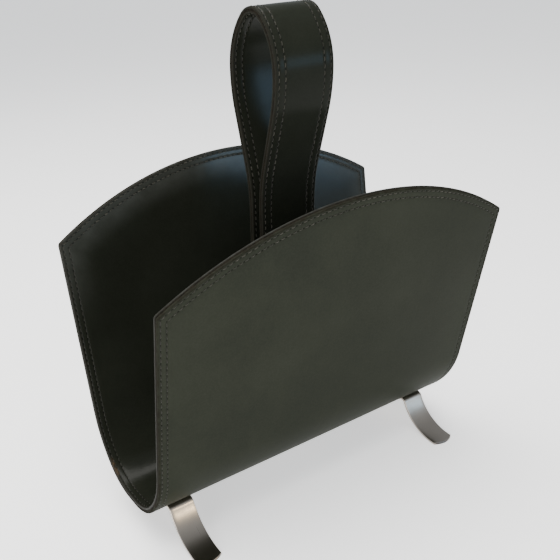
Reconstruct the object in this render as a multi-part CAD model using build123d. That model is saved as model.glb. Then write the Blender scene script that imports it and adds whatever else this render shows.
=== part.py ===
from build123d import *
import math
import os

# Free-standing leather magazine file: a U-shaped stitched panel on two sprung steel foot bars,
# with a stiff stitched strap loop standing in the middle as the carrying handle.
#
# Millimetres. X runs along the file, Y across the trough, Z up. The origin is on the floor, under
# the middle of the file, and the object is symmetric about X = 0 and Y = 0.

# ---- driving dimensions -------------------------------------------------------------------
LENGTH = 360.0               # panel length along X
COVER_T = 2.0                # outer leather
CORE_T = 1.5                 # sheet steel in the panel, and the welt around it
LINING_T = 2.0               # inner leather
PANEL_T = COVER_T + CORE_T + LINING_T
FLOOR_HALF = 6.0             # half of the flat strip at the bottom of the trough
LOWER_R, LOWER_TURN = 50.0, 46.0     # bend next to the flat, radius and degrees of turn
UPPER_R, UPPER_TURN = 92.0, 34.8     # wider bend above it
WALL_RUN = 166.5             # straight wall up to the corner, measured along the wall
TOP_RISE = 52.0              # height of the arched top edge above its corners
CORE_INSET = 14.0            # edge of the panel to the edge of the steel
SEAM_ROWS = (2.8, 8.0)       # distance of the two stitch rows from the panel's edge

HANDLE_W = 58.0              # strap width along X
STRAP_T = 2.0                # each leather of the strap
BAND_T = 1.5                 # spring steel band between them
HANDLE_T = 2 * STRAP_T + BAND_T
HANDLE_RISE = 415.0          # underside of the panel to the top of the loop
LEG_HALF = 10.0              # centre plane to the outer face of a straight leg
CROWN_R = 20.0               # outer radius of the very top of the loop
SHOULDER_R, SHOULDER_TURN = 60.0, 47.0   # wider bend on each side of the top
SIDE_R = 125.0               # outer radius of the loop's long sides
NECK_R = 140.0               # radius where the sides turn into the legs
NECK_TURN = 16.2             # degrees that the sides lean
BAND_INSET = 12.0            # edge of the strap to the edge of the band
HANDLE_ROWS = (3.0, 9.5)     # stitch rows from the strap's edge
LEG_GAP = 0.2                # strap ends stop this far above the trough floor

THREAD_W, THREAD_T = 0.8, 0.5        # thread as laid in its groove
GROOVE_W = 1.2

BAR_W, BAR_T = 25.0, 2.5     # foot bar section
BAR_X = 147.0                # foot bar centre from the middle of the file
HUG_TURN = 28.0              # degrees of the panel's lower bend that the bar follows
KNEE_R = 6.75                # outer radius of the knee where the bar turns down
SHIN_ANGLE = 64.0            # degrees below the horizontal under the knee
SHIN_R, SHIN_END = 47.5, 36.0        # first sweep outwards and its closing angle
TOE_R, TOE_FLAT = 49.0, 5.0  # second sweep, and the flat that rests on the floor
TOE_CROWN = 4.0              # bulge of the rounded toe end

BLOCK = (50.0, 28.0)         # anchor block between the handle's legs, X and Z
POST_X, POST_Z = 10.0, 14.0  # handle posts, from the middle and above the trough floor
POST_R, POST_HEAD_R, POST_HEAD_T = 2.5, 5.0, 1.6
POST_SCREW_R, POST_SCREW_L = 1.5, 8.0
ANCHOR_X, ANCHOR_R, ANCHOR_DEPTH = 19.0, 2.5, 16.0
CUP_R, CUP_T = 7.0, 2.2      # cup washer under each anchor screw
FOOT_SCREW_TURN = 17.0       # place of the foot screws round the lower bend, degrees
FOOT_SCREW_R, FOOT_HEAD_R, FOOT_HEAD_T = 2.0, 3.8, 2.0
INSERT_R, INSERT_FLANGE_R, INSERT_FLANGE_T = 3.2, 6.0, 0.8
INSERT_INSET = 0.3           # barrel end kept below the cover's surface
FIT = 0.05                   # radial clearance of pins and barrels in their holes


def SIN(degrees):
    return math.sin(math.radians(degrees))


def COS(degrees):
    return math.cos(math.radians(degrees))


# ---- derived levels -----------------------------------------------------------------------
KNEE_DROP = KNEE_R * (COS(HUG_TURN) - COS(SHIN_ANGLE))
SHIN_DROP = SHIN_R * (COS(SHIN_END) - COS(SHIN_ANGLE))
TOE_DROP = TOE_R * (1 - COS(SHIN_END))
HUG_RISE = LOWER_R * (1 - COS(HUG_TURN))
BASE_Z = BAR_T + TOE_DROP + SHIN_DROP + KNEE_DROP - HUG_RISE     # underside of the panel
TROUGH_Z = BASE_Z + PANEL_T
LEAN = 90.0 - LOWER_TURN - UPPER_TURN                            # walls from the vertical
SPAN = 2 * LENGTH            # longer than anything it has to cut


# ---- profiles made of tangent runs and bends in the YZ plane -------------------------------
def follow(start, heading, moves, offset):
    """Edges of a tangent path shifted to its left. A move is a length, or (radius, left turn)."""
    y, z = start
    edges = []

    def place(py, pz, angle):
        return (0, py - offset * SIN(angle), pz + offset * COS(angle))

    for move in moves:
        here = place(y, z, heading)
        if isinstance(move, tuple):
            radius, turn = move
            side = math.copysign(1, turn)
            cy, cz = y - side * radius * SIN(heading), z + side * radius * COS(heading)

            def on_bend(angle):
                py, pz = cy + side * radius * SIN(angle), cz - side * radius * COS(angle)
                return py, pz, angle

            middle, (y, z, heading) = on_bend(heading + turn / 2), on_bend(heading + turn)
            edges.append(ThreePointArc(here, place(*middle), place(y, z, heading)))
        else:
            y, z = y + move * COS(heading), z + move * SIN(heading)
            edges.append(Line(here, place(y, z, heading)))
    return edges


def strip(start, heading, moves, near, far, half_x):
    """A band along X between two offsets of one path."""
    first, second = follow(start, heading, moves, near), follow(start, heading, moves, far)
    edges = first + second
    edges += [Line(first[0] @ 0, second[0] @ 0), Line(first[-1] @ 1, second[-1] @ 1)]
    face = Face(Wire(edges))
    return extrude(face, amount=half_x, dir=(1, 0, 0), both=True)


# ---- the U-shaped panel -------------------------------------------------------------------
LOWER_BEND, UPPER_BEND = (LOWER_R, LOWER_TURN), (UPPER_R, UPPER_TURN)
BEND_Y = FLOOR_HALF + LOWER_R * SIN(LOWER_TURN) + UPPER_R * (COS(LEAN) - SIN(LOWER_TURN))
BEND_Z = BASE_Z + LOWER_R * (1 - COS(LOWER_TURN)) + UPPER_R * (COS(LOWER_TURN) - SIN(LEAN))
CORNER_Y, CORNER_Z = BEND_Y + WALL_RUN * SIN(LEAN), BEND_Z + WALL_RUN * COS(LEAN)
TOP_R = (LENGTH ** 2 / 4 + TOP_RISE ** 2) / (2 * TOP_RISE)
TOP_SINK = TOP_R - TOP_RISE          # centre of the arched edge below the corners
EXTRA = 1.5 * TOP_RISE               # blank left above the corners for the arch


def panel(near, far, inset):
    """The U-shaped sheet between two depths from the outside, with its outline moved in."""
    wall = WALL_RUN + EXTRA
    moves = [wall, UPPER_BEND, LOWER_BEND, 2 * FLOOR_HALF, LOWER_BEND, UPPER_BEND, wall]
    start = (-CORNER_Y - EXTRA * SIN(LEAN), CORNER_Z + EXTRA * COS(LEAN))
    sheet = strip(start, LEAN - 90.0, moves, near, far, LENGTH / 2 - inset)
    for side in (-1, 1):
        centre = (0, side * (CORNER_Y - TOP_SINK * SIN(LEAN)), CORNER_Z - TOP_SINK * COS(LEAN))
        outward = (0, side * COS(LEAN), -SIN(LEAN))
        arch = Plane(origin=centre, x_dir=(1, 0, 0), z_dir=outward)
        sheet &= extrude(arch * Circle(TOP_R - inset), amount=SPAN, both=True)
    return sheet


def panel_ring(near, far, inset, width):
    return panel(near, far, inset) - panel(near - 1, far + 1, inset + width)


def seam(row, width):
    """The two runs of one stitch row: on the outside of the cover and on the lining."""
    inset = row - width / 2
    outside = panel_ring(0, THREAD_T, inset, width)
    inside = panel_ring(PANEL_T - THREAD_T, PANEL_T, inset, width)
    return outside, inside


# ---- the handle ---------------------------------------------------------------------------
LEG_Z = TROUGH_Z + LEG_GAP
LOOP_HALF = CROWN_R * COS(SHOULDER_TURN) + SHOULDER_R * (1 - COS(SHOULDER_TURN))
NECK_LINE = LOOP_HALF - LEG_HALF - (NECK_R + SIDE_R) * (1 - COS(NECK_TURN))
NECK_RUN = NECK_LINE / SIN(NECK_TURN)
CROWN_RISE = CROWN_R + (SHOULDER_R - CROWN_R) * SIN(SHOULDER_TURN)
LOOP_RISE = (NECK_R + SIDE_R) * SIN(NECK_TURN) + NECK_RUN * COS(NECK_TURN) + CROWN_RISE
LEG_RUN = BASE_Z + HANDLE_RISE - LOOP_RISE - LEG_Z
LEG_MOVES = [LEG_RUN, (NECK_R, NECK_TURN), NECK_RUN, (SIDE_R, -NECK_TURN)]
SHOULDER = (SHOULDER_R, -SHOULDER_TURN)
CROWN = (CROWN_R, 2 * SHOULDER_TURN - 180.0)
LOOP_MOVES = LEG_MOVES + [SHOULDER, CROWN, SHOULDER] + LEG_MOVES[::-1]


def loop(near, far, x_low, x_high):
    """The strap between two depths from its outer face, over a range of X."""
    band = strip((-LEG_HALF, LEG_Z), 90.0, LOOP_MOVES, -near, -far, (x_high - x_low) / 2)
    return Pos((x_low + x_high) / 2, 0, 0) * band


def handle_seam(row, width):
    """The runs of one stitch row of the strap: both edges, outer and inner face."""
    runs = []
    for side in (-1, 1):
        middle = side * (HANDLE_W / 2 - row)
        for near in (0, HANDLE_T - THREAD_T):
            runs.append(loop(near, near + THREAD_T, middle - width / 2, middle + width / 2))
    return runs


# ---- round pieces -------------------------------------------------------------------------
def rod(radius, low, high):
    return Pos(0, 0, low) * Cylinder(radius, high - low, align=(Align.CENTER, Align.CENTER, Align.MIN))


def domed(radius, height, low, upward=1):
    """A low pan head from its seat at Z = low."""
    blank = rod(radius, 0, height)
    rim = blank.edges().filter_by(GeomType.CIRCLE).sort_by(Axis.Z)[-1]
    head = fillet(rim, 0.7 * height)
    return Pos(0, 0, low) * (head if upward > 0 else Rot(180, 0, 0) * head)


def across(shape, x, z):
    """Lays a piece built along +Z across the file, along +Y."""
    return Pos(x, 0, z) * Rot(-90, 0, 0) * shape


HANDLE_POST_PLACES = [(side * POST_X, TROUGH_Z + POST_Z) for side in (-1, 1)]
ANCHOR_PLACES = [side * ANCHOR_X for side in (-1, 1)]
FOOT_SCREW_PLACES = [(x, side) for x in (-BAR_X, BAR_X) for side in (-1, 1)]


def on_bend(shape, x, side):
    """Stands a piece built along +Z square to the panel's underside on its lower bend."""
    turn = FOOT_SCREW_TURN
    y = FLOOR_HALF + LOWER_R * SIN(turn)
    z = BASE_Z + LOWER_R * (1 - COS(turn))
    return Pos(x, side * y, z) * Rot(side * turn, 0, 0) * shape


def drill(shape, cutters):
    for cutter in cutters:
        shape -= cutter
    return shape


def handle_holes():
    hole = rod(POST_R + FIT, -LENGTH / 4, LENGTH / 4)
    return [across(hole, x, z) for x, z in HANDLE_POST_PLACES]


def anchor_holes():
    hole = rod(ANCHOR_R + FIT, 0, TROUGH_Z + 1)
    return [Pos(x, 0, 0) * hole for x in ANCHOR_PLACES]


def insert_holes(radius, low, high):
    return [on_bend(rod(radius, low, high), x, side) for x, side in FOOT_SCREW_PLACES]


# ---- pieces -------------------------------------------------------------------------------
def outer_cover():
    cover = panel(0, COVER_T, 0)
    cutters = [seam(row, GROOVE_W)[0] for row in SEAM_ROWS]
    cutters += anchor_holes() + insert_holes(INSERT_R + FIT, -1, PANEL_T)
    return drill(cover, cutters)


def inner_lining():
    lining = panel(COVER_T + CORE_T, PANEL_T, 0)
    cutters = [seam(row, GROOVE_W)[1] for row in SEAM_ROWS]
    flange_top = COVER_T + CORE_T + INSERT_FLANGE_T
    cutters += anchor_holes() + insert_holes(INSERT_FLANGE_R + FIT, 0, flange_top)
    return drill(lining, cutters)


def core_plate():
    core = panel(COVER_T, COVER_T + CORE_T, CORE_INSET)
    cutters = anchor_holes() + insert_holes(INSERT_R + FIT, -1, PANEL_T)
    cutters += insert_holes(INSERT_FLANGE_R + FIT, COVER_T + CORE_T, PANEL_T)
    return drill(core, cutters)


def edge_welt():
    return panel_ring(COVER_T, COVER_T + CORE_T, 0, CORE_INSET)


def strap(near, far, thread_faces):
    """One leather of the handle, grooved on the face that the thread shows on."""
    leather = loop(near, far, -HANDLE_W / 2, HANDLE_W / 2)
    cutters = [run for row in HANDLE_ROWS for run in handle_seam(row, GROOVE_W)[thread_faces::2]]
    return drill(leather, cutters + handle_holes())


def handle_band():
    half = HANDLE_W / 2 - BAND_INSET
    return drill(loop(STRAP_T, STRAP_T + BAND_T, -half, half), handle_holes())


def handle_welts():
    low, high = HANDLE_W / 2 - BAND_INSET, HANDLE_W / 2
    runs = [loop(STRAP_T, STRAP_T + BAND_T, *ends) for ends in ((-high, -low), (low, high))]
    return [drill(run, handle_holes()) for run in runs]


def anchor_block():
    width, height = BLOCK
    block = Box(width, 2 * (LEG_HALF - HANDLE_T), height)
    block = chamfer(block.edges().filter_by(Axis.Y).sort_by(Axis.Z)[-2:], 2.0)
    block = Pos(0, 0, TROUGH_Z + height / 2) * block
    tapped = [Pos(x, 0, 0) * rod(ANCHOR_R, 0, TROUGH_Z + ANCHOR_DEPTH + 1) for x in ANCHOR_PLACES]
    return drill(block, handle_holes() + tapped)


def handle_posts():
    barrel = rod(POST_R, -LEG_HALF, LEG_HALF)
    post = barrel + domed(POST_HEAD_R, POST_HEAD_T, -LEG_HALF, upward=-1)
    post -= rod(POST_SCREW_R, LEG_HALF - POST_SCREW_L - 1, LEG_HALF + 1)
    return [across(post, x, z) for x, z in HANDLE_POST_PLACES]


def slotted(head_radius, head_height, low, upward=1):
    """A pan head with a driver slot."""
    head = domed(head_radius, head_height, low, upward)
    slot = Box(2.5 * head_radius, 1.0, 0.8)
    return head - Pos(0, 0, low + upward * head_height) * slot


def handle_post_screws():
    screw = slotted(POST_HEAD_R, POST_HEAD_T, LEG_HALF)
    screw += rod(POST_SCREW_R, LEG_HALF - POST_SCREW_L, LEG_HALF)
    return [across(screw, x, z) for x, z in HANDLE_POST_PLACES]


def cup_washers():
    cone = Pos(0, 0, BASE_Z - CUP_T / 2) * Cone(4.2, CUP_R, CUP_T)
    seat = Pos(0, 0, BASE_Z - CUP_T / 2) * Cone(4.0, ANCHOR_R + FIT, CUP_T)
    washer = cone - seat
    return [Pos(x, 0, 0) * washer for x in ANCHOR_PLACES]


def anchor_screws():
    head = Pos(0, 0, BASE_Z - CUP_T / 2) * Cone(4.0, ANCHOR_R, CUP_T)
    head -= Pos(0, 0, BASE_Z - CUP_T) * Box(10, 1.0, 1.6)
    screw = head + rod(ANCHOR_R, BASE_Z, TROUGH_Z + ANCHOR_DEPTH)
    return [Pos(x, 0, 0) * screw for x in ANCHOR_PLACES]


HALF_BAR = [
    (LOWER_R, HUG_TURN),
    (KNEE_R, -HUG_TURN - SHIN_ANGLE),
    (SHIN_R, SHIN_ANGLE - SHIN_END),
    (TOE_R, SHIN_END),
    TOE_FLAT,
]
TOE_Y = (
    FLOOR_HALF
    + LOWER_R * SIN(HUG_TURN)
    + KNEE_R * (SIN(HUG_TURN) + SIN(SHIN_ANGLE))
    + SHIN_R * (SIN(SHIN_ANGLE) - SIN(SHIN_END))
    + TOE_R * SIN(SHIN_END)
    + TOE_FLAT
)


def foot_bar(x):
    """One sprung bar: it hugs the panel's underside, turns down and sweeps out to the toes."""
    moves = HALF_BAR[::-1] + [2 * FLOOR_HALF] + HALF_BAR
    bar = strip((-TOE_Y, BAR_T), 0.0, moves, 0.0, -BAR_T, BAR_W / 2)
    half, shoulder = BAR_W / 2, TOE_Y - TOE_CROWN
    outline = [
        Line((-half, -shoulder, 0), (-half, shoulder, 0)),
        ThreePointArc((-half, shoulder, 0), (0, TOE_Y, 0), (half, shoulder, 0)),
        Line((half, shoulder, 0), (half, -shoulder, 0)),
        ThreePointArc((half, -shoulder, 0), (0, -TOE_Y, 0), (-half, -shoulder, 0)),
    ]
    bar &= extrude(Face(Wire(outline)), amount=SPAN / 4, dir=(0, 0, 1), both=True)
    bar = Pos(x, 0, 0) * bar
    return drill(bar, insert_holes(FOOT_SCREW_R + 0.2, -BAR_T - 1, 1))


def foot_inserts():
    """Flanged threaded inserts, set in the core and hidden by the lining."""
    top = COVER_T + CORE_T
    insert = rod(INSERT_R, INSERT_INSET, top)
    insert += rod(INSERT_FLANGE_R, top, top + INSERT_FLANGE_T)
    insert -= rod(FOOT_SCREW_R, -1, top + INSERT_FLANGE_T + 1)
    return [on_bend(insert, x, side) for x, side in FOOT_SCREW_PLACES]


def foot_screws():
    screw = slotted(FOOT_HEAD_R, FOOT_HEAD_T, -BAR_T, upward=-1)
    screw += rod(FOOT_SCREW_R, -BAR_T, COVER_T + CORE_T)
    return [on_bend(screw, x, side) for x, side in FOOT_SCREW_PLACES]


# ---- export -------------------------------------------------------------------------------
def parts():
    yield "outer_cover", outer_cover()
    yield "inner_lining", inner_lining()
    yield "core_plate", core_plate()
    yield "edge_welt", edge_welt()
    for name, row in zip(("panel_seam_edge_row", "panel_seam_second_row"), SEAM_ROWS):
        yield name, seam(row, THREAD_W)
    yield "handle_outer_strap", strap(0, STRAP_T, 0)
    yield "handle_inner_strap", strap(STRAP_T + BAND_T, HANDLE_T, 1)
    yield "handle_spring_band", handle_band()
    yield "handle_welts", handle_welts()
    for name, row in zip(("handle_seam_edge_rows", "handle_seam_second_rows"), HANDLE_ROWS):
        yield name, handle_seam(row, THREAD_W)
    yield "handle_anchor_block", anchor_block()
    yield "handle_posts", handle_posts()
    yield "handle_post_screws", handle_post_screws()
    yield "anchor_screws", anchor_screws()
    yield "anchor_cup_washers", cup_washers()
    yield "left_foot_bar", foot_bar(-BAR_X)
    yield "right_foot_bar", foot_bar(BAR_X)
    yield "foot_screws", foot_screws()
    yield "foot_inserts", foot_inserts()


os.makedirs("parts", exist_ok=True)
for node, made in parts():
    pieces = list(made) if isinstance(made, (list, tuple)) else [made]
    solids = [solid for piece in pieces for solid in piece.solids()]
    export_step(Compound(children=solids), f"parts/{node}.step")
    print(node, len(solids))
print("underside", round(BASE_Z, 2), "corner", round(CORNER_Y, 2), round(CORNER_Z, 2))
print("leg run", round(LEG_RUN, 2), "neck run", round(NECK_RUN, 2), "toe", round(TOE_Y, 2))
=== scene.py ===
# %% [markdown]
# # A stitched leather magazine file
#
# This file dresses a finished CAD model. The CAD says how big every part is and where it sits;
# Blender adds what the CAD leaves plain: softened edges, grooves pressed by the thread, separate
# stitches, dye that is a little uneven, and brushed steel.
#
# The first step loads the CAD model; the boxes of its parts give sizes further down.

# %% Load the CAD frame
import math

import bmesh
import bpy
from mathutils import Matrix, Vector


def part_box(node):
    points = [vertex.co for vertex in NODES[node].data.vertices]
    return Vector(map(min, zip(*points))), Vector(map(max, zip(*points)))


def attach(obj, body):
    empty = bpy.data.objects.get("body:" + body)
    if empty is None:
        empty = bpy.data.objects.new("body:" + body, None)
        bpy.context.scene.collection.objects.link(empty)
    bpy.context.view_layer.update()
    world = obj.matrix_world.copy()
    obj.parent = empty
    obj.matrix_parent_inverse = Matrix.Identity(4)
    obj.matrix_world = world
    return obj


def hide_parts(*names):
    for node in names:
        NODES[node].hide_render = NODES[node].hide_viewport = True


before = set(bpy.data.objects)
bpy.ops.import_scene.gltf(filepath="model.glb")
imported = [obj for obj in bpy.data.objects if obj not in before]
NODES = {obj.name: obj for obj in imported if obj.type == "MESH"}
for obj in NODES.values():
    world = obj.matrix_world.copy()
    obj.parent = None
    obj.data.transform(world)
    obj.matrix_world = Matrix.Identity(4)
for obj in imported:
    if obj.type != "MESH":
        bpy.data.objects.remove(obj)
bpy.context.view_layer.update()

# %% [markdown]
# ## The sizes that the looks need
#
# A piece of leather is drawn flat, then bent. So the sizes come in two kinds: the outline of the
# flat sheet, and the line that it is bent along. The outline is read from the CAD boxes where
# a box says it. The bends are the radii and turns that the CAD model was drawn with.
# Everything is in millimetres until a mesh is made, because leather is thought of that way.

# %% Sizes in millimetres
MM = 0.001


def size_of(node):
    low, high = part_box(node)
    return [(high[i] - low[i]) / MM for i in range(3)]


PANEL_HALF = size_of("outer_cover")[0] / 2
PANEL_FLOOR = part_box("outer_cover")[0][2] / MM
LEATHER_T, CORE_T = 2.0, 1.5
PANEL_T = 2 * LEATHER_T + CORE_T
ARCH_RISE = 52.0
ARCH_R = (PANEL_HALF ** 2 + ARCH_RISE ** 2) / (2 * ARCH_RISE)
FLAT_HALF = 6.0                 # half the flat strip along the middle of the trough's floor
FLOOR_R, FLOOR_TURN = 50.0, 46.0
SIDE_R, SIDE_TURN = 92.0, 34.8
WALL_RUN = 166.5                # straight wall, up to the corner
BLANK = 60.0                    # hide above the corners, for the arch
PANEL_BEND = [FLAT_HALF, (FLOOR_R, FLOOR_TURN), (SIDE_R, SIDE_TURN), WALL_RUN + BLANK]
CORNER_RUN = FLAT_HALF + WALL_RUN
CORNER_RUN += math.radians(FLOOR_TURN) * FLOOR_R + math.radians(SIDE_TURN) * SIDE_R
PANEL_ROWS = (2.8, 8.0)         # stitch rows, in from the edge

STRAP_HALF = size_of("handle_outer_strap")[0] / 2
STRAP_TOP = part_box("handle_outer_strap")[1][2] / MM
STRAP_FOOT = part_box("handle_outer_strap")[0][2] / MM
STRAP_BEND = [(20.0, -43.0), (60.0, -47.0), (125.0, -16.2), 43.72, (140.0, 16.2), 300.0]
STRAP_ROWS = (3.0, 9.5)

BAR_HALF, BAR_T = size_of("left_foot_bar")[0] / 2, 2.5
BAR_X = (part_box("right_foot_bar")[0][0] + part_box("right_foot_bar")[1][0]) / 2 / MM
BAR_BEND = [6.0, (50.0, 28.0), (6.75, -92.0), (47.5, 28.0), (49.0, 36.0), 5.0]
TOE_CROWN = 4.0                 # how far the toe's end is rounded back at its corners
TOE_REACH = 14.0                # length of bar over which it does so
print("panel", round(2 * PANEL_HALF), "mm long; strap", round(2 * STRAP_HALF), "mm wide")

# %% [markdown]
# ## Bending a flat sheet
#
# Leather hardly stretches, so every point of the bent sheet lies as far along the bend as it did
# along the flat hide. That makes one small tool enough for the panel, the strap and the steel
# feet: walk a distance along a line of straight runs and round bends, then step off it squarely
# by a depth. A curve modifier would do this too, but it hides where a stitch ends up; with our
# own walk a stitch, a groove and an edge can all be placed by the same two numbers.

# %% Walk along a bend
class Bend:
    """Straight runs and (radius, turn) bends, end to end. A left turn is positive."""

    def __init__(self, start, moves):
        self.legs = []
        y, z, heading, walked = start[0], start[1], 0.0, 0.0
        for move in moves:
            self.legs.append((walked, y, z, heading, move))
            length, y, z, heading = self.step(y, z, heading, move, None)
            walked += length
        self.length = walked

    @staticmethod
    def step(y, z, heading, move, part):
        if not isinstance(move, tuple):
            run = move if part is None else part
            return run, y + run * math.cos(heading), z + run * math.sin(heading), heading
        radius, degrees = move
        length = radius * abs(math.radians(degrees))
        side = math.copysign(1.0, degrees)
        turned = heading + side * (length if part is None else part) / radius
        y += side * radius * (math.sin(turned) - math.sin(heading))
        z += side * radius * (math.cos(heading) - math.cos(turned))
        return length, y, z, turned

    def at(self, distance, depth):
        """The (y, z) after a distance, stepped to the left by a depth. Mirrored when negative."""
        reach = abs(distance)
        walked, y, z, heading, move = self.legs[0]
        for leg in self.legs:
            if leg[0] <= reach:
                walked, y, z, heading, move = leg
        _, y, z, heading = self.step(y, z, heading, move, reach - walked)
        y, z = y - depth * math.sin(heading), z + depth * math.cos(heading)
        return math.copysign(y, distance) if distance else y, z


PANEL = Bend((0.0, PANEL_FLOOR), PANEL_BEND)
STRAP = Bend((0.0, STRAP_TOP), STRAP_BEND)
BAR = Bend((0.0, PANEL_FLOOR), BAR_BEND)


def strap_length():
    """Half the strap, from the top of the loop to the end of a leg."""
    top_of_leg = STRAP.legs[-1]
    return top_of_leg[0] + top_of_leg[2] - STRAP_FOOT


STRAP_RUN = strap_length()
corner_y, corner_z = PANEL.at(CORNER_RUN, 0.0)
print("panel corner at", round(corner_y, 2), round(corner_z, 2), "strap run", round(STRAP_RUN, 1))

# %% [markdown]
# ## From numbers to a mesh
#
# Each piece is a list of points and faces. Two facts are stored on every point for the finishes
# to read later: how far the point is from the cut edge of the leather, and whether it lies in a
# stitch hole. Painting by such facts keeps a worn edge on the edge, whatever the bend does.

# %% Mesh helper
class Mould:
    """Collects points, faces and the two facts, then makes one smooth-shaded piece."""

    def __init__(self):
        self.points, self.faces, self.edge, self.hole = [], [], [], []

    def add(self, point, edge=99.0, hole=0.0):
        self.points.append([c * MM for c in point])
        self.edge.append(edge)
        self.hole.append(hole)
        return len(self.points) - 1

    def loft(self, rings, closed_ring=True, closed_rows=False):
        """Quads between rings of the same count."""
        rows = len(rings) if closed_rows else len(rings) - 1
        for r in range(rows):
            a, b = rings[r], rings[(r + 1) % len(rings)]
            last = len(a) if closed_ring else len(a) - 1
            for i in range(last):
                j = (i + 1) % len(a)
                self.faces.append((a[i], a[j], b[j], b[i]))

    @staticmethod
    def face_outward(mesh):
        shell = bmesh.new()
        shell.from_mesh(mesh)
        bmesh.ops.recalc_face_normals(shell, faces=shell.faces)
        shell.to_mesh(mesh)
        shell.free()

    def piece(self, name, finish, slot, node):
        """Makes the piece, which stands for that CAD node."""
        mesh = bpy.data.meshes.new(name)
        mesh.from_pydata(self.points, [], self.faces)
        self.face_outward(mesh)
        for fact, values in (("edge_mm", self.edge), ("stitch_hole", self.hole)):
            layer = mesh.attributes.new(fact, "FLOAT", "POINT")
            layer.data.foreach_set("value", values)
        mesh.shade_smooth()
        mesh.materials.append(finish)
        made = bpy.data.objects.new(name, mesh)
        bpy.context.scene.collection.objects.link(made)
        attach(made, "root")
        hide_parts(node)
        print(name, len(self.points), "points", len(self.faces), "faces")


# %% [markdown]
# ## Writing a finish as arithmetic
#
# A finish is a small recipe: take some noise, soften it, use it to mix two dyes. Blender draws
# such a recipe as boxes and wires, which is hard to read in a script. The class below wraps one
# wire, so that `1 - mask * 0.5` means what it says and adds the Math nodes by itself. Colours are
# mixed with Mix nodes, because a Math node would turn them grey.

# %% Shader arithmetic
class Wire:
    """One value in a finish's node tree."""

    def __init__(self, finish, socket):
        self.finish, self.socket = finish, socket

    def math(self, operation, first, second):
        return self.finish.node("ShaderNodeMath", {"operation": operation}, {0: first, 1: second})

    def __add__(self, other):
        return self.math("ADD", self, other)

    def __radd__(self, other):
        return self.math("ADD", other, self)

    def __sub__(self, other):
        return self.math("SUBTRACT", self, other)

    def __rsub__(self, other):
        return self.math("SUBTRACT", other, self)

    def __mul__(self, other):
        return self.math("MULTIPLY", self, other)

    def __rmul__(self, other):
        return self.math("MULTIPLY", other, self)

    def between(self, low, high):
        """0 at low, 1 at high, and a soft step between them."""
        return self.finish.node(
            "ShaderNodeMapRange",
            {"interpolation_type": "SMOOTHSTEP"},
            {"Value": self, "From Min": low, "From Max": high},
        )


class Finish:
    """A material whose Principled shader is fed by wires."""

    def __init__(self, name, **constants):
        self.material = bpy.data.materials.new(name)
        self.material.use_nodes = True
        self.tree = self.material.node_tree
        self.shader = self.tree.nodes["Principled BSDF"]
        for socket, value in constants.items():
            self.set(socket.replace("_", " "), value)
        self.place = self.node("ShaderNodeTexCoord", {}, {}, "Object")

    def node(self, kind, settings, values, output=0):
        made = self.tree.nodes.new(kind)
        for key, value in settings.items():
            setattr(made, key, value)
        for key, value in values.items():
            self.feed(made.inputs[key], value)
        return Wire(self, made.outputs[output])

    def feed(self, socket, value):
        if isinstance(value, Wire):
            self.tree.links.new(value.socket, socket)
        elif hasattr(socket.default_value, "__len__") and len(value) < len(socket.default_value):
            socket.default_value = (*value, 1.0)
        else:
            socket.default_value = value

    def set(self, socket, value):
        self.feed(self.shader.inputs[socket], value)

    def fact(self, name):
        """A number stored on the mesh's points."""
        return self.node("ShaderNodeAttribute", {"attribute_name": name}, {}, "Fac")

    def mix(self, first, second, amount):
        """The first colour where amount is 0, the second where it is 1."""
        return self.node("ShaderNodeMix", {"data_type": "RGBA"}, {0: amount, 6: first, 7: second}, 2)

    def stretched(self, scale):
        """The place with each axis scaled, in cells for each metre."""
        return self.node("ShaderNodeVectorMath", {"operation": "MULTIPLY"}, {0: self.place, 1: scale})

    def height(self):
        """Metres above the floor."""
        return self.node("ShaderNodeSeparateXYZ", {}, {"Vector": self.place}, "Z")

    def spot_near(self, point, reach):
        """1 at that point of the piece, falling to 0 at reach."""
        settings = {"operation": "DISTANCE"}
        gap = self.node("ShaderNodeVectorMath", settings, {0: self.place, 1: point}, "Value")
        return 1 - gap.between(reach * 0.3, reach)

    def noise(self, scale, detail=2.0, roughness=0.5, place=None):
        """Soft noise; scale is in cells for each metre."""
        values = {"Vector": place or self.place, "Scale": scale}
        values.update({"Detail": detail, "Roughness": roughness})
        return self.node("ShaderNodeTexNoise", {}, values)

    def cells(self, scale):
        """Distance from the middle of the nearest cell."""
        return self.node("ShaderNodeTexVoronoi", {}, {"Vector": self.place, "Scale": scale})

    def relief(self, height, depth, strength=1.0, under=None):
        """Bump: height runs from 0 to 1 and stands for a depth in millimetres."""
        values = {"Height": height, "Distance": depth * MM, "Strength": strength}
        if under is not None:
            values["Normal"] = under
        return self.node("ShaderNodeBump", {}, values)


print("shader arithmetic ready")
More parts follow.
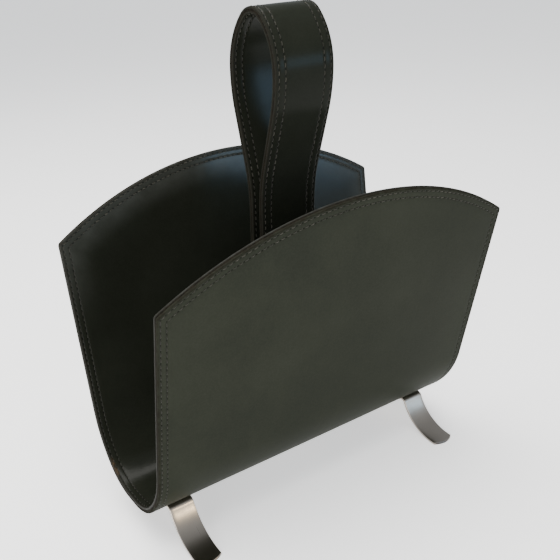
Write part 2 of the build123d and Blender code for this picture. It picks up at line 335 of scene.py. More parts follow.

# %% [markdown]
# ## Smooth saddlery leather
#
# The panel and the strap are covered in smooth, nearly black hide with a green cast. A hide like
# that has three scales of life: a broad cloudiness where the dye took unevenly, fine creases a
# few millimetres long, and pores well under a millimetre. The sheen is soft, because wax fills
# the pores, so the roughness moves only a little. Cut edges get a browner tone, the stitch holes
# get a near-black painted shade, and one small tan scuff sits on the edge. The lining gets a
# paler tone along the tops of its walls: a painted sheen, standing for light from above
# reflected in the hide. Handling may be the cause, but that is a guess: it could also be a
# reflection.
#
# A single dark colour would read as plastic. The broad noise goes into colour and gloss, and the
# fine ones go mostly into relief, because that is where the eye reads leather. The tones could be
# painted by hand; here they follow the stored distance from the edge and the height above the
# floor, so a few numbers move or widen them. The three hides share one recipe: the cover is the
# palest and dullest, the lining the darkest and glossiest, the strap in between. Part of that
# difference is the hides' own; the rest is painted light and shade, a paler cover for the lit
# outside and a darker lining for the shade inside the trough.

# %% Leather finish
CLOUD_CELLS, CREASE_CELLS, FLECK_CELLS, PORE_CELLS = 11.0, 140.0, 620.0, 1150.0
DYE_DARK = (0.0076, 0.0086, 0.0060)
DYE_LIGHT = (0.0150, 0.0165, 0.0118)
RUBBED_BROWN = (0.0100, 0.0088, 0.0062)
# painted sheen: a pale tone on the lining's wall tops that stands for reflected light from above
PAINTED_SHEEN_TONE = (0.0400, 0.0420, 0.0370)
SCUFF_TAN = (0.095, 0.062, 0.034)
SCUFF_PLACE = (-0.1790, 0.035, 0.0415)
SCUFF_REACH = 0.012
# near-black painted shade for the stitch holes
HOLE_SHADE = (0.0020, 0.0020, 0.0020)


def leather(name, depth, gloss, rough, rub, painted_sheen_and_scuff=0.0):
    """depth scales the dye, gloss sets specular, rub browns edges, the last adds painted sheen on wall
    tops and the scuff.
    """
    finish = Finish(name, IOR=1.5, Specular_IOR_Level=gloss)
    dark, light = [tuple(depth * c for c in dye) for dye in (DYE_DARK, DYE_LIGHT)]
    cloud = finish.noise(CLOUD_CELLS, 4.0, 0.55).between(0.32, 0.72)
    crease = finish.noise(CREASE_CELLS, 5.0, 0.6, finish.stretched((1.0, 1.0, 0.6)))
    fleck = finish.noise(FLECK_CELLS, 3.0, 0.7).between(0.30, 0.70)
    pores = finish.cells(PORE_CELLS).between(0.0, 0.65)
    edge, hole = finish.fact("edge_mm"), finish.fact("stitch_hole")
    patchy = finish.noise(170.0, 4.0, 0.7).between(0.35, 0.65)
    near_edge = 1 - edge.between(0.5, 2.3)
    margin = 1 - edge.between(9.0, 15.0)
    rubbed = near_edge * (0.35 + patchy * 0.65) * rub
    uneven = cloud * 0.38 + crease * 0.30 + fleck * 0.32
    dye = finish.mix(dark, light, uneven)
    dye = finish.mix(dye, RUBBED_BROWN, margin * patchy * 0.10)
    if painted_sheen_and_scuff:
        # painted sheen along the tops of the lining's walls, mottled by a broad noise
        sheen_near_top = (1 - edge.between(8.0, 32.0)) * finish.height().between(0.17, 0.26)
        sheen_blotches = finish.noise(60.0, 5.0, 0.65).between(0.20, 0.75)
        dye = finish.mix(dye, PAINTED_SHEEN_TONE, sheen_near_top * (0.5 + sheen_blotches * 0.5) * painted_sheen_and_scuff)
        at_rim = 1 - edge.between(1.5, 4.0)
        scuff = finish.spot_near(SCUFF_PLACE, SCUFF_REACH)
        dye = finish.mix(dye, SCUFF_TAN, scuff * at_rim * patchy)
    dye = finish.mix(dye, RUBBED_BROWN, rubbed)
    # the stitch holes get painted shade
    finish.set("Base Color", finish.mix(dye, HOLE_SHADE, hole))
    finish.set("Roughness", rough + cloud * 0.05 + crease * 0.08 + near_edge * 0.35)
    grain = finish.relief(pores, 0.03, 0.25)
    grain = finish.relief(crease, 0.14, 0.45, grain)
    finish.set("Normal", grain)
    return finish.material


# the cover's paler dye and the lining's darker dye are partly painted light and shade
COVER_LEATHER = leather("waxed_cover_leather", 1.68, 0.02, 0.42, rub=0.9)
LINING_LEATHER = leather("waxed_lining_leather", 0.78, 0.075, 0.13, rub=0.9, painted_sheen_and_scuff=0.6)
STRAP_LEATHER = leather("waxed_strap_leather", 0.95, 0.045, 0.17, rub=0.8)
print("three leathers, dye from", DYE_DARK, "to", DYE_LIGHT)

# %% [markdown]
# ## The other finishes
#
# - The edge between the two hides is a filler strip, burnished with the edges until it is a dull
#   dark brown with streaks along the fibre.
# - The thread is waxed linen, twisted, so it gets a fine diagonal ripple. It has paler patches
#   of uneven tone; along the tops and the handle they are made stronger as a painted highlight,
#   where the overhead lamp falls, and lower down it is nearly as dark as the hide. Two noises,
#   one broad and one fine, make the patches.
# - The feet are spring steel, brushed along their length: noise that is very fine across the bar
#   and long along it goes into the roughness and the relief. The metal is a touch warm. The toes
#   get a darker tone, which stands in for a dark room mirrored in their curve. A true reflection
#   would move with the view; this tone doesn't.
# - Hidden fittings are turned steel, primed plate and milled aluminium.
#
# Steel could be one plain metal shader, but the fine lines are what tells brushed from chromed.

# %% Edge, thread and metal finishes
# above these heights the thread is painted paler: a painted highlight where the overhead lamp falls
HIGHLIGHT_FROM, HIGHLIGHT_ABOVE = 0.235, 0.265   # heights between which the thread turns paler
DARK_BELOW, BRIGHT_ABOVE = 0.006, 0.022   # heights on the feet, from toe to bar


def burnished_edge():
    """Dull brown rim, streaked along the fibre."""
    finish = Finish("burnished_edge", IOR=1.45, Specular_IOR_Level=0.03)
    streak = finish.noise(330.0, 4.0, 0.7).between(0.35, 0.65)
    fibre = finish.noise(900.0, 3.0, 0.6)
    finish.set("Base Color", finish.mix((0.0050, 0.0044, 0.0032), (0.0130, 0.0108, 0.0074), streak))
    finish.set("Roughness", 0.6 + fibre * 0.2)
    finish.set("Normal", finish.relief(fibre, 0.08, 0.6))
    return finish.material


def waxed_thread():
    """Twisted dark linen with pale patches, strengthened high up by a painted highlight."""
    finish = Finish("waxed_thread", IOR=1.45, Specular_IOR_Level=0.15)
    twist = finish.node(
        "ShaderNodeTexWave",
        {"bands_direction": "DIAGONAL"},
        {"Vector": finish.place, "Scale": 420.0, "Distortion": 2.0, "Detail": 1.0},
        "Fac",
    )
    patch = finish.noise(24.0, 2.0).between(0.35, 0.65)
    # painted highlight: the higher stitches are paler
    highlight_share = 0.15 + finish.height().between(HIGHLIGHT_FROM, HIGHLIGHT_ABOVE) * 0.85
    fine = finish.noise(170.0, 3.0).between(0.30, 0.70)
    pale = fine * (0.25 + patch * 0.75) * highlight_share
    tone = finish.mix((0.012, 0.0115, 0.009), (0.062, 0.058, 0.046), pale)
    finish.set("Base Color", finish.mix(tone, (0.030, 0.029, 0.022), twist * 0.4))
    finish.set("Roughness", 0.36 + pale * 0.12)
    finish.set("Normal", finish.relief(twist, 0.10, 0.8))
    return finish.material


def brushed_steel(name, tone, across, roughness, dark_toes=False):
    """Brushed along Y and Z. across is the count of scratches for each metre of X."""
    finish = Finish(name, Metallic=1.0)
    hair = finish.noise(1.0, 3.0, 0.65, finish.stretched((across, 14.0, 14.0)))
    broad = finish.noise(38.0, 3.0, 0.5).between(0.3, 0.75)
    dark = tuple(0.72 * c for c in tone)
    steel = finish.mix(tone, dark, broad * 0.6 + hair * 0.25)
    if dark_toes:
        toe_tone = tuple(0.58 * c for c in tone)
        steel = finish.mix(toe_tone, steel, finish.height().between(DARK_BELOW, BRIGHT_ABOVE))
    finish.set("Base Color", steel)
    finish.set("Roughness", roughness + hair * 0.14 + broad * 0.06)
    finish.set("Normal", finish.relief(hair, 0.02, 0.5))
    return finish.material


def turned_steel():
    """Screws and washers: fine tool marks and a few stains."""
    finish = Finish("turned_steel", Metallic=1.0)
    stain = finish.noise(260.0, 4.0, 0.6).between(0.3, 0.75)
    tool = finish.noise(2400.0, 2.0)
    finish.set("Base Color", finish.mix((0.52, 0.51, 0.49), (0.30, 0.28, 0.25), stain))
    finish.set("Roughness", 0.28 + stain * 0.2)
    finish.set("Normal", finish.relief(tool, 0.01, 0.5))
    return finish.material


def primed_plate():
    """The hidden core, in speckled grey primer."""
    finish = Finish("primed_plate", Metallic=0.0)
    speckle = finish.noise(700.0, 4.0, 0.7)
    finish.set("Base Color", finish.mix((0.05, 0.05, 0.05), (0.09, 0.085, 0.08), speckle))
    finish.set("Roughness", 0.6 + speckle * 0.2)
    return finish.material


EDGE = burnished_edge()
THREAD = waxed_thread()
FOOT_STEEL = brushed_steel("brushed_foot_steel", (0.53, 0.475, 0.415), 2600.0, 0.22, True)
SPRING_STEEL = brushed_steel("blued_spring_steel", (0.20, 0.22, 0.27), 1500.0, 0.3)
ALUMINIUM = brushed_steel("milled_aluminium", (0.66, 0.66, 0.67), 900.0, 0.35)
FITTING = turned_steel()
PLATE = primed_plate()
print(len(bpy.data.materials), "finishes")

# %% [markdown]
# ## The outline of the panel, ring by ring
#
# Flat, the panel is a rectangle whose two short-way ends are arches. A groove, a stitch row and
# a softened edge all run parallel to that outline, so the mesh is made of rings, each a certain
# distance in from the edge. A ring carries the same count of points per stitch as its neighbours,
# so a stitch hole in one ring lines up with the dimple in the next.

# %% Rings of the panel
ARCH_STITCHES, SIDE_STITCHES = 66, 96
PER_STITCH = 6
STITCH_COUNT = 2 * (ARCH_STITCHES + SIDE_STITCHES)
ARCH_CENTRE = CORNER_RUN - (ARCH_R - ARCH_RISE)


def flat_outline(inset, along):
    """The (x, run) on the ring at that inset. along counts stitches right round the panel."""
    along %= STITCH_COUNT
    radius, half = ARCH_R - inset, PANEL_HALF - inset
    swing = math.asin(half / radius)
    corner = ARCH_CENTRE + radius * math.cos(swing)
    far_side = along >= STITCH_COUNT / 2
    if far_side:
        along -= STITCH_COUNT / 2
    if along < ARCH_STITCHES:
        angle = swing * (2 * along / ARCH_STITCHES - 1)
        x, run = radius * math.sin(angle), ARCH_CENTRE + radius * math.cos(angle)
    else:
        x, run = half, corner * (1 - 2 * (along - ARCH_STITCHES) / SIDE_STITCHES)
    return (-x, -run) if far_side else (x, run)


def inset_of(x, run):
    """Distance from the outline to a point of the flat panel."""
    to_arch = ARCH_R - math.hypot(x, abs(run) - ARCH_CENTRE)
    return min(PANEL_HALF - abs(x), to_arch)


def on_panel(inset, along, depth):
    x, run = flat_outline(inset, along)
    return (x, *PANEL.at(run, depth))


RIM_REACH = 2.0                 # rings closer to the edge than this have softened corners


def soften_corners(ring, per_stitch, passes):
    """Rounds the four corners of a ring of (x, run) pairs a little."""
    corners = [0, ARCH_STITCHES, STITCH_COUNT // 2, STITCH_COUNT // 2 + ARCH_STITCHES]
    count = len(ring)
    for _ in range(passes):
        old = list(ring)
        for corner in corners:
            for shift in range(-2, 3):
                i = (corner * per_stitch + shift) % count
                a, b, c = old[i - 1], old[i], old[(i + 1) % count]
                ring[i] = tuple((p + 2 * q + r) / 4 for p, q, r in zip(a, b, c))
    return ring


print(STITCH_COUNT, "stitches round the panel")

# %% [markdown]
# ## The two hides of the panel
#
# The cover and the lining are cut to one outline and meet at the edge. A maker would pare and
# burnish that edge round, then pull the thread tight, which leaves a shallow groove with a small
# dimple at each hole. The steps below walk a section through that edge: across the hidden side,
# round the edge, over both grooves and out onto the open hide. The open hide itself waves by
# a fraction of a millimetre, as glued leather does, and that is what breaks up its reflections.

# %% Section of a stitched margin
GROOVE_DEPTH, GROOVE_HALF = 0.22, 1.2
DIMPLE, DIMPLE_REACH = 0.40, 0.8
# (distance in from the edge, depth below the open face), from the hidden side round the rim
EDGE_SECTION = [(0.35, 2.0), (0.12, 1.8), (0.02, 1.4), (0.0, 1.0), (0.1, 0.55), (0.32, 0.25)]
EDGE_SECTION += [(0.7, 0.08), (1.3, 0.0)]


MARGIN, GRID_INSET = 13.4, 19.0   # where the fine rings end and the grid begins


def groove(distance, rows):
    """How deep the thread has pulled the hide in, at a distance from the edge."""
    depth = 0.0
    for row in rows:
        off = abs(distance - row) / GROOVE_HALF
        if off < 1:
            depth = max(depth, GROOVE_DEPTH * (1 + math.cos(math.pi * off)) / 2)
    return depth


def margin_steps(rows, last):
    """The section of a margin, from the hidden side to a last flat step."""
    steps = list(EDGE_SECTION)
    for row in rows:
        for off in (-GROOVE_HALF, -0.75, -0.4, 0.0, 0.4, 0.75, GROOVE_HALF):
            steps.append((row + off, groove(row + off, rows)))
    steps.append((last, 0.0))
    return steps


def dimple(distance, rows, beat):
    """1 in a stitch hole. beat is the place within one stitch, from 0 to 1."""
    off = min(abs(distance - row) for row in rows)
    near = min(beat, 1 - beat) * 6.0
    return max(0.0, 1 - off / DIMPLE_REACH) * max(0.0, 1 - near / 1.2)


def wave(x, run):
    """Gentle unevenness of glued hide, in millimetres."""
    return 0.10 * math.sin(x / 31.0 + 0.7 * math.sin(run / 47.0)) * math.sin(run / 39.0 + 1.3)


print("a margin takes", len(margin_steps(PANEL_ROWS, MARGIN)), "rings")

# %% [markdown]
# ## Building the cover and the lining
#
# Fine rings are needed only near the stitches. Further in they would waste points, so a fine ring
# is joined to a coarse one, with one point for each stitch, and the coarse ring is filled with
# a grid. The hidden side needs no rings at all, only its own coarse grid. A subdivision surface
# would smooth the margin too, but it would also pull the holes away from the stitches.
#
# The cover and the lining differ only in the side of the panel that they lie on, so one function
# makes both.

# %% Build the cover and the lining
def panel_hide(name, finish, slot, node, inward):
    """One hide of the panel. An inward hide is the lining."""
    mould = Mould()

    def place(x, run, depth, edge, hole=0.0):
        true_depth = PANEL_T - depth if inward else depth
        return mould.add((x, *PANEL.at(run, true_depth)), edge, hole)

    def fine_ring(inset, depth):
        count = STITCH_COUNT * PER_STITCH
        flat = [flat_outline(inset, i / PER_STITCH) for i in range(count)]
        if inset < RIM_REACH:
            flat = soften_corners(flat, PER_STITCH, 4)
        ring = []
        for i, (x, run) in enumerate(flat):
            pit = dimple(inset, PANEL_ROWS, (i % PER_STITCH) / PER_STITCH)
            ring.append(place(x, run, depth + DIMPLE * pit, inset, pit))
        return ring

    def coarse_ring(inset, depth):
        return [place(*flat_outline(inset, i), depth, inset) for i in range(STITCH_COUNT)]

    def join(fine, coarse):
        """One face for each stitch between a fine ring and a coarse one."""
        for i in range(STITCH_COUNT):
            j = (i + 1) % STITCH_COUNT
            run = [fine[(i * PER_STITCH + k) % len(fine)] for k in range(PER_STITCH + 1)]
            mould.faces.append((*run, coarse[j], coarse[i]))

    def middle(ring, depth, waving):
        """Fills a coarse ring with a grid."""
        columns, rows = ARCH_STITCHES, SIDE_STITCHES
        grid = []
        for c in range(columns + 1):
            top = flat_outline(GRID_INSET, c)
            column = []
            for r in range(rows + 1):
                if c == 0 and r > 0:
                    column.append(ring[(-r) % STITCH_COUNT])
                elif c == columns:
                    column.append(ring[columns + r])
                elif r == 0:
                    column.append(ring[c])
                elif r == rows:
                    column.append(ring[STITCH_COUNT // 2 + columns - c])
                else:
                    x, run = top[0], top[1] * (1 - 2 * r / rows)
                    fade = min(1.0, min(r, rows - r, c, columns - c) / 3.0)
                    lift = wave(x, run) * fade if waving else 0.0
                    column.append(place(x, run, depth + lift, inset_of(x, run)))
            grid.append(column)
        mould.loft(grid, closed_ring=False)

    back = coarse_ring(GRID_INSET, LEATHER_T)
    middle(back, LEATHER_T, False)
    rings = [fine_ring(inset, depth) for inset, depth in margin_steps(PANEL_ROWS, MARGIN)]
    join(rings[0], back)
    mould.loft(rings)
    front = coarse_ring(GRID_INSET, 0.0)
    join(rings[-1], front)
    middle(front, 0.0, True)
    mould.piece(name, finish, slot, node)


panel_hide("cover_hide", COVER_LEATHER, "cover_leather", "outer_cover", False)
panel_hide("lining_hide", LINING_LEATHER, "lining_leather", "inner_lining", True)

# %% [markdown]
# ## The filler between the hides
#
# Round the edge a strip of hide fills the gap beside the steel plate. Only its burnished rim
# shows, as a fine brown line between the two hides, set back by a hair. A closed ring with a
# rounded rim is enough.

# %% Build the edge filler
PANEL_FILLER, STRAP_FILLER = 14.0, 12.0   # how far in the fillers reach


def filler_section(reach):
    """(distance in from the edge, depth) over the filler's rounded rim."""
    low, high = LEATHER_T, LEATHER_T + CORE_T
    rim = [(0.4, low), (0.16, low + 0.3), (0.1, low + 0.75), (0.16, high - 0.3), (0.4, high)]
    return [(reach, low), *rim, (reach, high)]


def edge_filler():
    mould = Mould()
    rings = []
    for inset, depth in filler_section(PANEL_FILLER):
        flat = [flat_outline(inset, i / 2) for i in range(2 * STITCH_COUNT)]
        if inset < RIM_REACH:
            flat = soften_corners(flat, 2, 1)
        rings.append([mould.add((x, *PANEL.at(run, depth)), inset) for x, run in flat])
    mould.loft(rings, closed_rows=True)
    mould.piece("edge_filler", EDGE, "welt_leather", "edge_welt")


edge_filler()

# %% [markdown]
# ## Saddle stitches
#
# A saddle stitch is two threads through every hole, so the same row of stitches shows on both
# sides. Each stitch is a short bowed bead: it dives into a hole at both ends, bulges in the
# middle, and leans a little, because the awl's holes are slanted. It would be quicker to run
# one tube round the groove, but the gaps are what makes it read as stitching.

# %% Stitch helper
BEAD_STATIONS, BEAD_SIDES = 7, 6
THREAD_HALF_W, THREAD_HALF_H = 0.46, 0.34
STITCH_START, STITCH_SHARE = 0.12, 0.76   # the part of a stitch's pitch that its bead takes
DIVE, RISE = -0.75, 0.80                  # depth of the ends in their holes, and the bow above


def stitches(mould, count, place, lean):
    """place(along, across, height) gives a point; along counts stitches."""
    for k in range(count):
        rings = []
        for j in range(BEAD_STATIONS):
            part = j / (BEAD_STATIONS - 1)
            bow = math.sin(math.pi * part)
            height = DIVE + RISE * bow ** 0.7
            thick = 0.55 + 0.45 * bow ** 0.5
            across = lean * (part - 0.5)
            ring = []
            for side in range(BEAD_SIDES):
                angle = 2 * math.pi * side / BEAD_SIDES
                a = across + thick * THREAD_HALF_W * math.cos(angle)
                h = height + thick * THREAD_HALF_H * math.sin(angle)
                along = k + STITCH_START + STITCH_SHARE * part
                ring.append(mould.add(place(along, a, h)))
            rings.append(ring)
        mould.loft(rings)
        mould.faces.append(tuple(rings[0][::-1]))
        mould.faces.append(tuple(rings[-1]))


def panel_row(name, inset, node):
    """One row right round the panel, on both of its faces."""
    mould = Mould()
    for inward in (False, True):
        def place(along, across, height):
            depth = PANEL_T + height if inward else -height
            return on_panel(inset + across, along, depth)
        stitches(mould, STITCH_COUNT, place, 0.5)
    mould.piece(name, THREAD, "waxed_thread", node)


panel_row("edge_row_stitches", PANEL_ROWS[0], "panel_seam_edge_row")
panel_row("second_row_stitches", PANEL_ROWS[1], "panel_seam_second_row")

# %% [markdown]
# ## The handle strap
#
# The handle is one long strap bent into a drop-shaped loop, with its two legs standing side by
# side down to the floor of the trough. It is built like the panel: two hides with a steel spring
# and a filler between them, and two stitch rows along each margin. Because its edges are
# parallel, a section swept along the bend does the job: one ring across the strap, repeated four
# times for each stitch, with the dimple pressed in at every hole.

# %% Build the strap
STITCH_LENGTH = 5.4
STRAP_STITCHES = round(2 * STRAP_RUN / STITCH_LENGTH)
STRAP_PITCH = 2 * STRAP_RUN / STRAP_STITCHES
STRAP_T = PANEL_T
STRAP_PER_STITCH = 4


STRAP_MARGIN = 12.5
CROWN, CROWN_HALF = 0.12, 14.0  # the glued hide stands a hair proud in the middle


def strap_section():
    """(x, depth, distance from the edge) round one hide, from edge to edge."""
    steps = margin_steps(STRAP_ROWS, STRAP_MARGIN)
    left = [(-STRAP_HALF + inset, depth, inset) for inset, depth in steps]
    middle = []
    for x in (-13.0, -7.0, 0.0, 7.0, 13.0):
        middle.append((x, -CROWN * (1 - (x / CROWN_HALF) ** 2), 25.0))
    right = [(STRAP_HALF - inset, depth, inset) for inset, depth in reversed(steps)]
    return left + middle + right


def on_strap(x, along, depth):
    run = -STRAP_RUN + along * STRAP_PITCH
    return (x, *STRAP.at(run, -depth))


def strap_hide(name, finish, node, inward):
    mould = Mould()
    rings = []
    for i in range(STRAP_STITCHES * STRAP_PER_STITCH + 1):
        along = i / STRAP_PER_STITCH
        ring = []
        for x, depth, inset in strap_section():
            pit = dimple(inset, STRAP_ROWS, along % 1.0)
            sunk = depth + DIMPLE * pit
            true_depth = STRAP_T - sunk if inward else sunk
            ring.append(mould.add(on_strap(x, along, true_depth), inset, pit))
        rings.append(ring)
    mould.loft(rings)
    mould.faces.append(tuple(rings[0][::-1]))
    mould.faces.append(tuple(rings[-1]))
    mould.piece(name, finish, "strap_leather", node)


strap_hide("strap_outer_hide", STRAP_LEATHER, "handle_outer_strap", False)
strap_hide("strap_inner_hide", STRAP_LEATHER, "handle_inner_strap", True)

# %% [markdown]
# ## The strap's edges and stitches
#
# The filler shows as the brown middle of the loop's edge, one strip down each side. It follows
# the same bend as the hides. The rows use the same bead as the panel, and only the function that
# says where a point goes is new: along the strap, in from one of its two edges, on one of its two
# faces. Copying the panel's rows and bending them would stretch the stitches.

# %% Build the strap's fillers and stitches
def strap_filler():
    mould = Mould()
    for side in (-1, 1):
        rings = []
        for i in range(2 * STRAP_STITCHES + 1):
            ring = []
            for inset, depth in filler_section(STRAP_FILLER):
                x = side * (STRAP_HALF - inset)
                ring.append(mould.add(on_strap(x, i / 2, depth), inset))
            rings.append(ring)
        mould.loft(rings)
        mould.faces.append(tuple(rings[0][::-1]))
        mould.faces.append(tuple(rings[-1]))
    mould.piece("strap_filler", EDGE, "welt_leather", "handle_welts")


def strap_row(name, inset, node):
    """One row along each margin, on both faces."""
    mould = Mould()
    for side in (-1, 1):
        for inward in (False, True):
            def place(along, across, height):
                depth = STRAP_T + height if inward else -height
                return on_strap(side * (STRAP_HALF - inset) + across, along, depth)
            stitches(mould, STRAP_STITCHES, place, 0.4)
    mould.piece(name, THREAD, "waxed_thread", node)


strap_filler()
strap_row("strap_edge_stitches", STRAP_ROWS[0], "handle_seam_edge_rows")
strap_row("strap_second_stitches", STRAP_ROWS[1], "handle_seam_second_rows")

# %% [markdown]
# ## The steel feet
#
# Each foot is one flat bar. It follows the underside of the panel, comes out from under it, turns
# down and sweeps out to a rounded toe. The bar is swept like the strap, from a flat section with
# eased corners, and near each toe the section is held back at its corners, which rounds the end.
# The eased corner is what catches the thin bright line along a real bar.

# %% Build the feet
EASE = 0.45                     # radius of the bar's eased corners
FOOT_STEPS = 150                # sections from the middle of a bar to a toe


def bar_section():
    """(x, depth) round the bar with eased corners; depth 0 is the top."""
    corners = [(1, 0, 90), (1, 1, 0), (-1, 1, -90), (-1, 0, 180)]
    section = []
    for side, low, first in corners:
        cx, cz = side * (BAR_HALF - EASE), EASE + low * (BAR_T - 2 * EASE)
        for k in range(4):
            angle = math.radians(first - 30 * k)
            section.append((cx + EASE * math.cos(angle), cz - EASE * math.sin(angle)))
    flats = [BAR_HALF * f for f in (-0.7, -0.35, 0.0, 0.35, 0.7)]
    top = [(x, 0.0) for x in flats]
    bottom = [(x, BAR_T) for x in reversed(flats)]
    return section[0:8] + bottom + section[8:16] + top


def foot(name, centre, node):
    mould = Mould()
    rings = []
    for i in range(-FOOT_STEPS, FOOT_STEPS + 1):
        run = BAR.length * i / FOOT_STEPS
        shrink = EASE * max(0.0, (abs(i) - FOOT_STEPS + 1))
        ring = []
        for x, depth in bar_section():
            pull = max(0.0, 1 - (BAR.length - abs(run)) / TOE_REACH)
            back = math.copysign(TOE_CROWN * (x / BAR_HALF) ** 2 * pull, run)
            squeeze = 1 - shrink / BAR_HALF
            thin = BAR_T / 2 + (depth - BAR_T / 2) * (1 - 2 * shrink / BAR_T * 0.8)
            ring.append(mould.add((centre + x * squeeze, *BAR.at(run - back, -thin))))
        rings.append(ring)
    mould.loft(rings)
    mould.faces.append(tuple(rings[0][::-1]))
    mould.faces.append(tuple(rings[-1]))
    mould.piece(name, FOOT_STEEL, "foot_steel", node)


foot("left_foot", -BAR_X, "left_foot_bar")
foot("right_foot", BAR_X, "right_foot_bar")

# %% [markdown]
# ## The fittings that stay as the CAD made them
#
# Screws, posts, washers, inserts, the anchor block, the plate and the spring are turned, milled
# or cut parts. The CAD shape is already the real shape, so they only need their finish.

# %% Finish the CAD parts
CARRIED = {
    "core_plate": PLATE,
    "handle_spring_band": SPRING_STEEL,
    "handle_anchor_block": ALUMINIUM,
    "handle_posts": FITTING,
    "handle_post_screws": FITTING,
    "anchor_screws": FITTING,
    "anchor_cup_washers": FITTING,
    "foot_screws": FITTING,
    "foot_inserts": FITTING,
}
for node, finish in CARRIED.items():
    slots = NODES[node].material_slots
    if not slots:
        NODES[node].data.materials.append(finish)
    for slot in slots:
        slot.material = finish
print(len(CARRIED), "fittings finished")

# %% [markdown]
# ## The floor
#
# The holder stands on a plain pale floor, one flat face. It reaches so far that its end is never
# seen, and it glows a little, so that it stays pale under lamps that are soft enough for dark
# leather. A curved backdrop would hide the horizon too, but a camera that looks down doesn't
# see the horizon, so a flat floor is enough.

# %% Floor
FLOOR_REACH = 60.0


def stage():
    mesh = bpy.data.meshes.new("pale_floor")
    corners = [(x * FLOOR_REACH, y * FLOOR_REACH, 0.0) for x, y in ((-1, -1), (1, -1), (1, 1), (-1, 1))]
    mesh.from_pydata(corners, [], [(0, 1, 2, 3)])
    glow = {"Emission_Color": (1.0, 1.0, 1.0), "Emission_Strength": 0.8}
    finish = Finish("pale_floor", Roughness=0.9, **glow)
    mottle = finish.noise(3.0, 3.0)
    finish.set("Base Color", finish.mix((0.86, 0.86, 0.86), (0.9, 0.9, 0.9), mottle))
    mesh.materials.append(finish.material)
    floor = bpy.data.objects.new("pale_floor", mesh)
    bpy.context.scene.collection.objects.link(floor)


stage()
print("floor", 2 * FLOOR_REACH, "m across")

# %% [markdown]
# ## Light
#
# Dark waxed leather shows mostly what it reflects, so large soft lamps matter more than strong
# ones. A weak even sky fills the shadows, a wide lamp hangs overhead, and another stands low at
# the front left. Cool lamps to the right stand for a window: their reflection is the blue sheen
# inside the back wall, inside the loop and across the strap.
#
# A lamp can be told which pieces it lights. No real lamp does that, though a studio comes near it
# with black cards. It is used here so that the window lamps don't wash out the front wall and the
# floor, the overhead lamp doesn't flatten the steel, and each foot has a small lamp of its own,
# warm on the left, cool on the right. The cost is that neighbouring pieces can show reflections
# that don't agree.

# %% Light
world = bpy.data.worlds.new("studio")
world.use_nodes = True
sky = world.node_tree.nodes["Background"]
sky.inputs["Color"].default_value = (0.90, 0.95, 1.0, 1.0)
sky.inputs["Strength"].default_value = 0.60
bpy.context.scene.world = world

WHITE, WARM_WHITE, LAMP_AMBER = (1.0, 1.0, 1.0), (1.0, 0.98, 0.95), (1.0, 0.82, 0.54)
WINDOW_BLUE, PALE_BLUE = (0.42, 0.70, 1.0), (0.50, 0.74, 1.0)
MIDDLE, WALL_TOPS = (0.0, 0.0, 0.0), (0.0, 0.0, 0.36)


def softbox(name, place, aim, size, power, colour, pieces=None):
    """A rectangular lamp. size is width and height; pieces limits what it lights."""
    data = bpy.data.lights.new(name, "AREA")
    data.shape = "RECTANGLE"
    data.size, data.size_y = size
    data.energy, data.color = power, colour
    lamp = bpy.data.objects.new(name, data)
    lamp.location = place
    if pieces:
        lamp.light_linking.receiver_collection = pieces
    toward = Vector(aim) - Vector(place)
    lamp.rotation_mode = "QUATERNION"
    lamp.rotation_quaternion = toward.to_track_quat("-Z", "Y")
    bpy.context.scene.collection.objects.link(lamp)
    print(name, power, "W")


def lit_pieces(name, pieces, state="INCLUDE"):
    """A list of pieces that a lamp lights, or with EXCLUDE leaves out."""
    group = bpy.data.collections.new(name)
    for piece in pieces:
        group.objects.link(bpy.data.objects[piece])
    for entry in group.collection_objects:
        entry.light_linking.link_state = state
    return group


glossy_hides = lit_pieces("window_lights", ("lining_hide", "strap_inner_hide"))
outer_strap = lit_pieces("low_window_lights", ("strap_outer_hide",))
all_but_feet = lit_pieces("overhead_spares", ("left_foot", "right_foot"), "EXCLUDE")
left_foot = lit_pieces("warm_key_lights", ("left_foot",))
right_foot = lit_pieces("cool_key_lights", ("right_foot",))

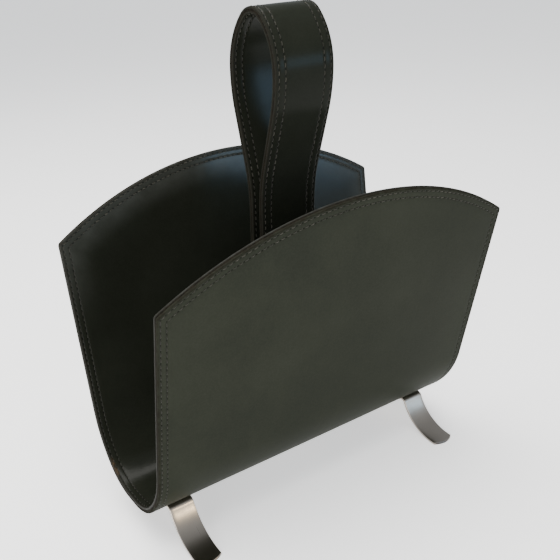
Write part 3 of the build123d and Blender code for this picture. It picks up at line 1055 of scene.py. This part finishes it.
softbox("overhead_softbox", (-0.3, 0.2, 1.9), MIDDLE, (1.8, 1.8), 85.0, WARM_WHITE, all_but_feet)
softbox("warm_key_softbox", (0.72, -1.86, 0.66), MIDDLE, (0.35, 0.12), 7.0, LAMP_AMBER, left_foot)
softbox("cool_key_softbox", (1.30, -1.72, 0.66), MIDDLE, (0.62, 0.70), 4.5, PALE_BLUE, right_foot)
softbox("window_softbox", (1.30, -1.72, 0.60), WALL_TOPS, (0.62, 0.86), 21.0, WINDOW_BLUE, glossy_hides)
softbox("low_window_softbox", (1.30, -1.72, 0.56), WALL_TOPS, (0.62, 0.40), 6.0, WINDOW_BLUE, outer_strap)
softbox("front_softbox", (-1.5, -1.2, 0.38), (-0.1, 0.0, 0.1), (1.2, 0.7), 29.0, WHITE)

# %% [markdown]
# ## Camera
#
# The camera looks down on the holder from the front left, close enough for the walls to converge.
# It is placed in the words used beside a tripod: look at this spot, from this far, so many
# degrees round and so many up, with the head tipped a little. The holder sits a little off the
# lens's axis. Shifting the lens frames it without turning the camera, so the perspective stays.

# %% Camera
AZIMUTH, ELEVATION, ROLL = [math.radians(angle) for angle in (-30.805, 27.400, -3.466)]
TARGET, DISTANCE = Vector((-0.07722, 0.0, 0.18331)), 0.66298
SENSOR_MM, LENS_MM = 36.0, 47.202

back = Vector((
    math.sin(AZIMUTH) * math.cos(ELEVATION),
    -math.cos(AZIMUTH) * math.cos(ELEVATION),
    math.sin(ELEVATION),
))
right = (-back).cross(Vector((0.0, 0.0, 1.0))).normalized()
up = right.cross(-back)
tilted_right = math.cos(ROLL) * right + math.sin(ROLL) * up
tilted_up = -math.sin(ROLL) * right + math.cos(ROLL) * up
lens = bpy.data.cameras.new("camera")
lens.sensor_width = SENSOR_MM
lens.lens = LENS_MM
lens.shift_x, lens.shift_y = 0.1161, 0.0729
lens.clip_start, lens.clip_end = 0.01, 50.0
camera = bpy.data.objects.new("camera", lens)
spot = TARGET + back * DISTANCE
turn = Matrix((tilted_right, tilted_up, back)).transposed().to_4x4()
camera.matrix_world = Matrix.Translation(spot) @ turn
bpy.context.scene.collection.objects.link(camera)
bpy.context.scene.camera = camera
print("camera", [round(v, 3) for v in spot], "lens", LENS_MM)

# %% [markdown]
# ## Closing
#
# The looks must not change the size of the object. The last step brings the scene up to date.

# %% Finish
bpy.context.view_layer.update()
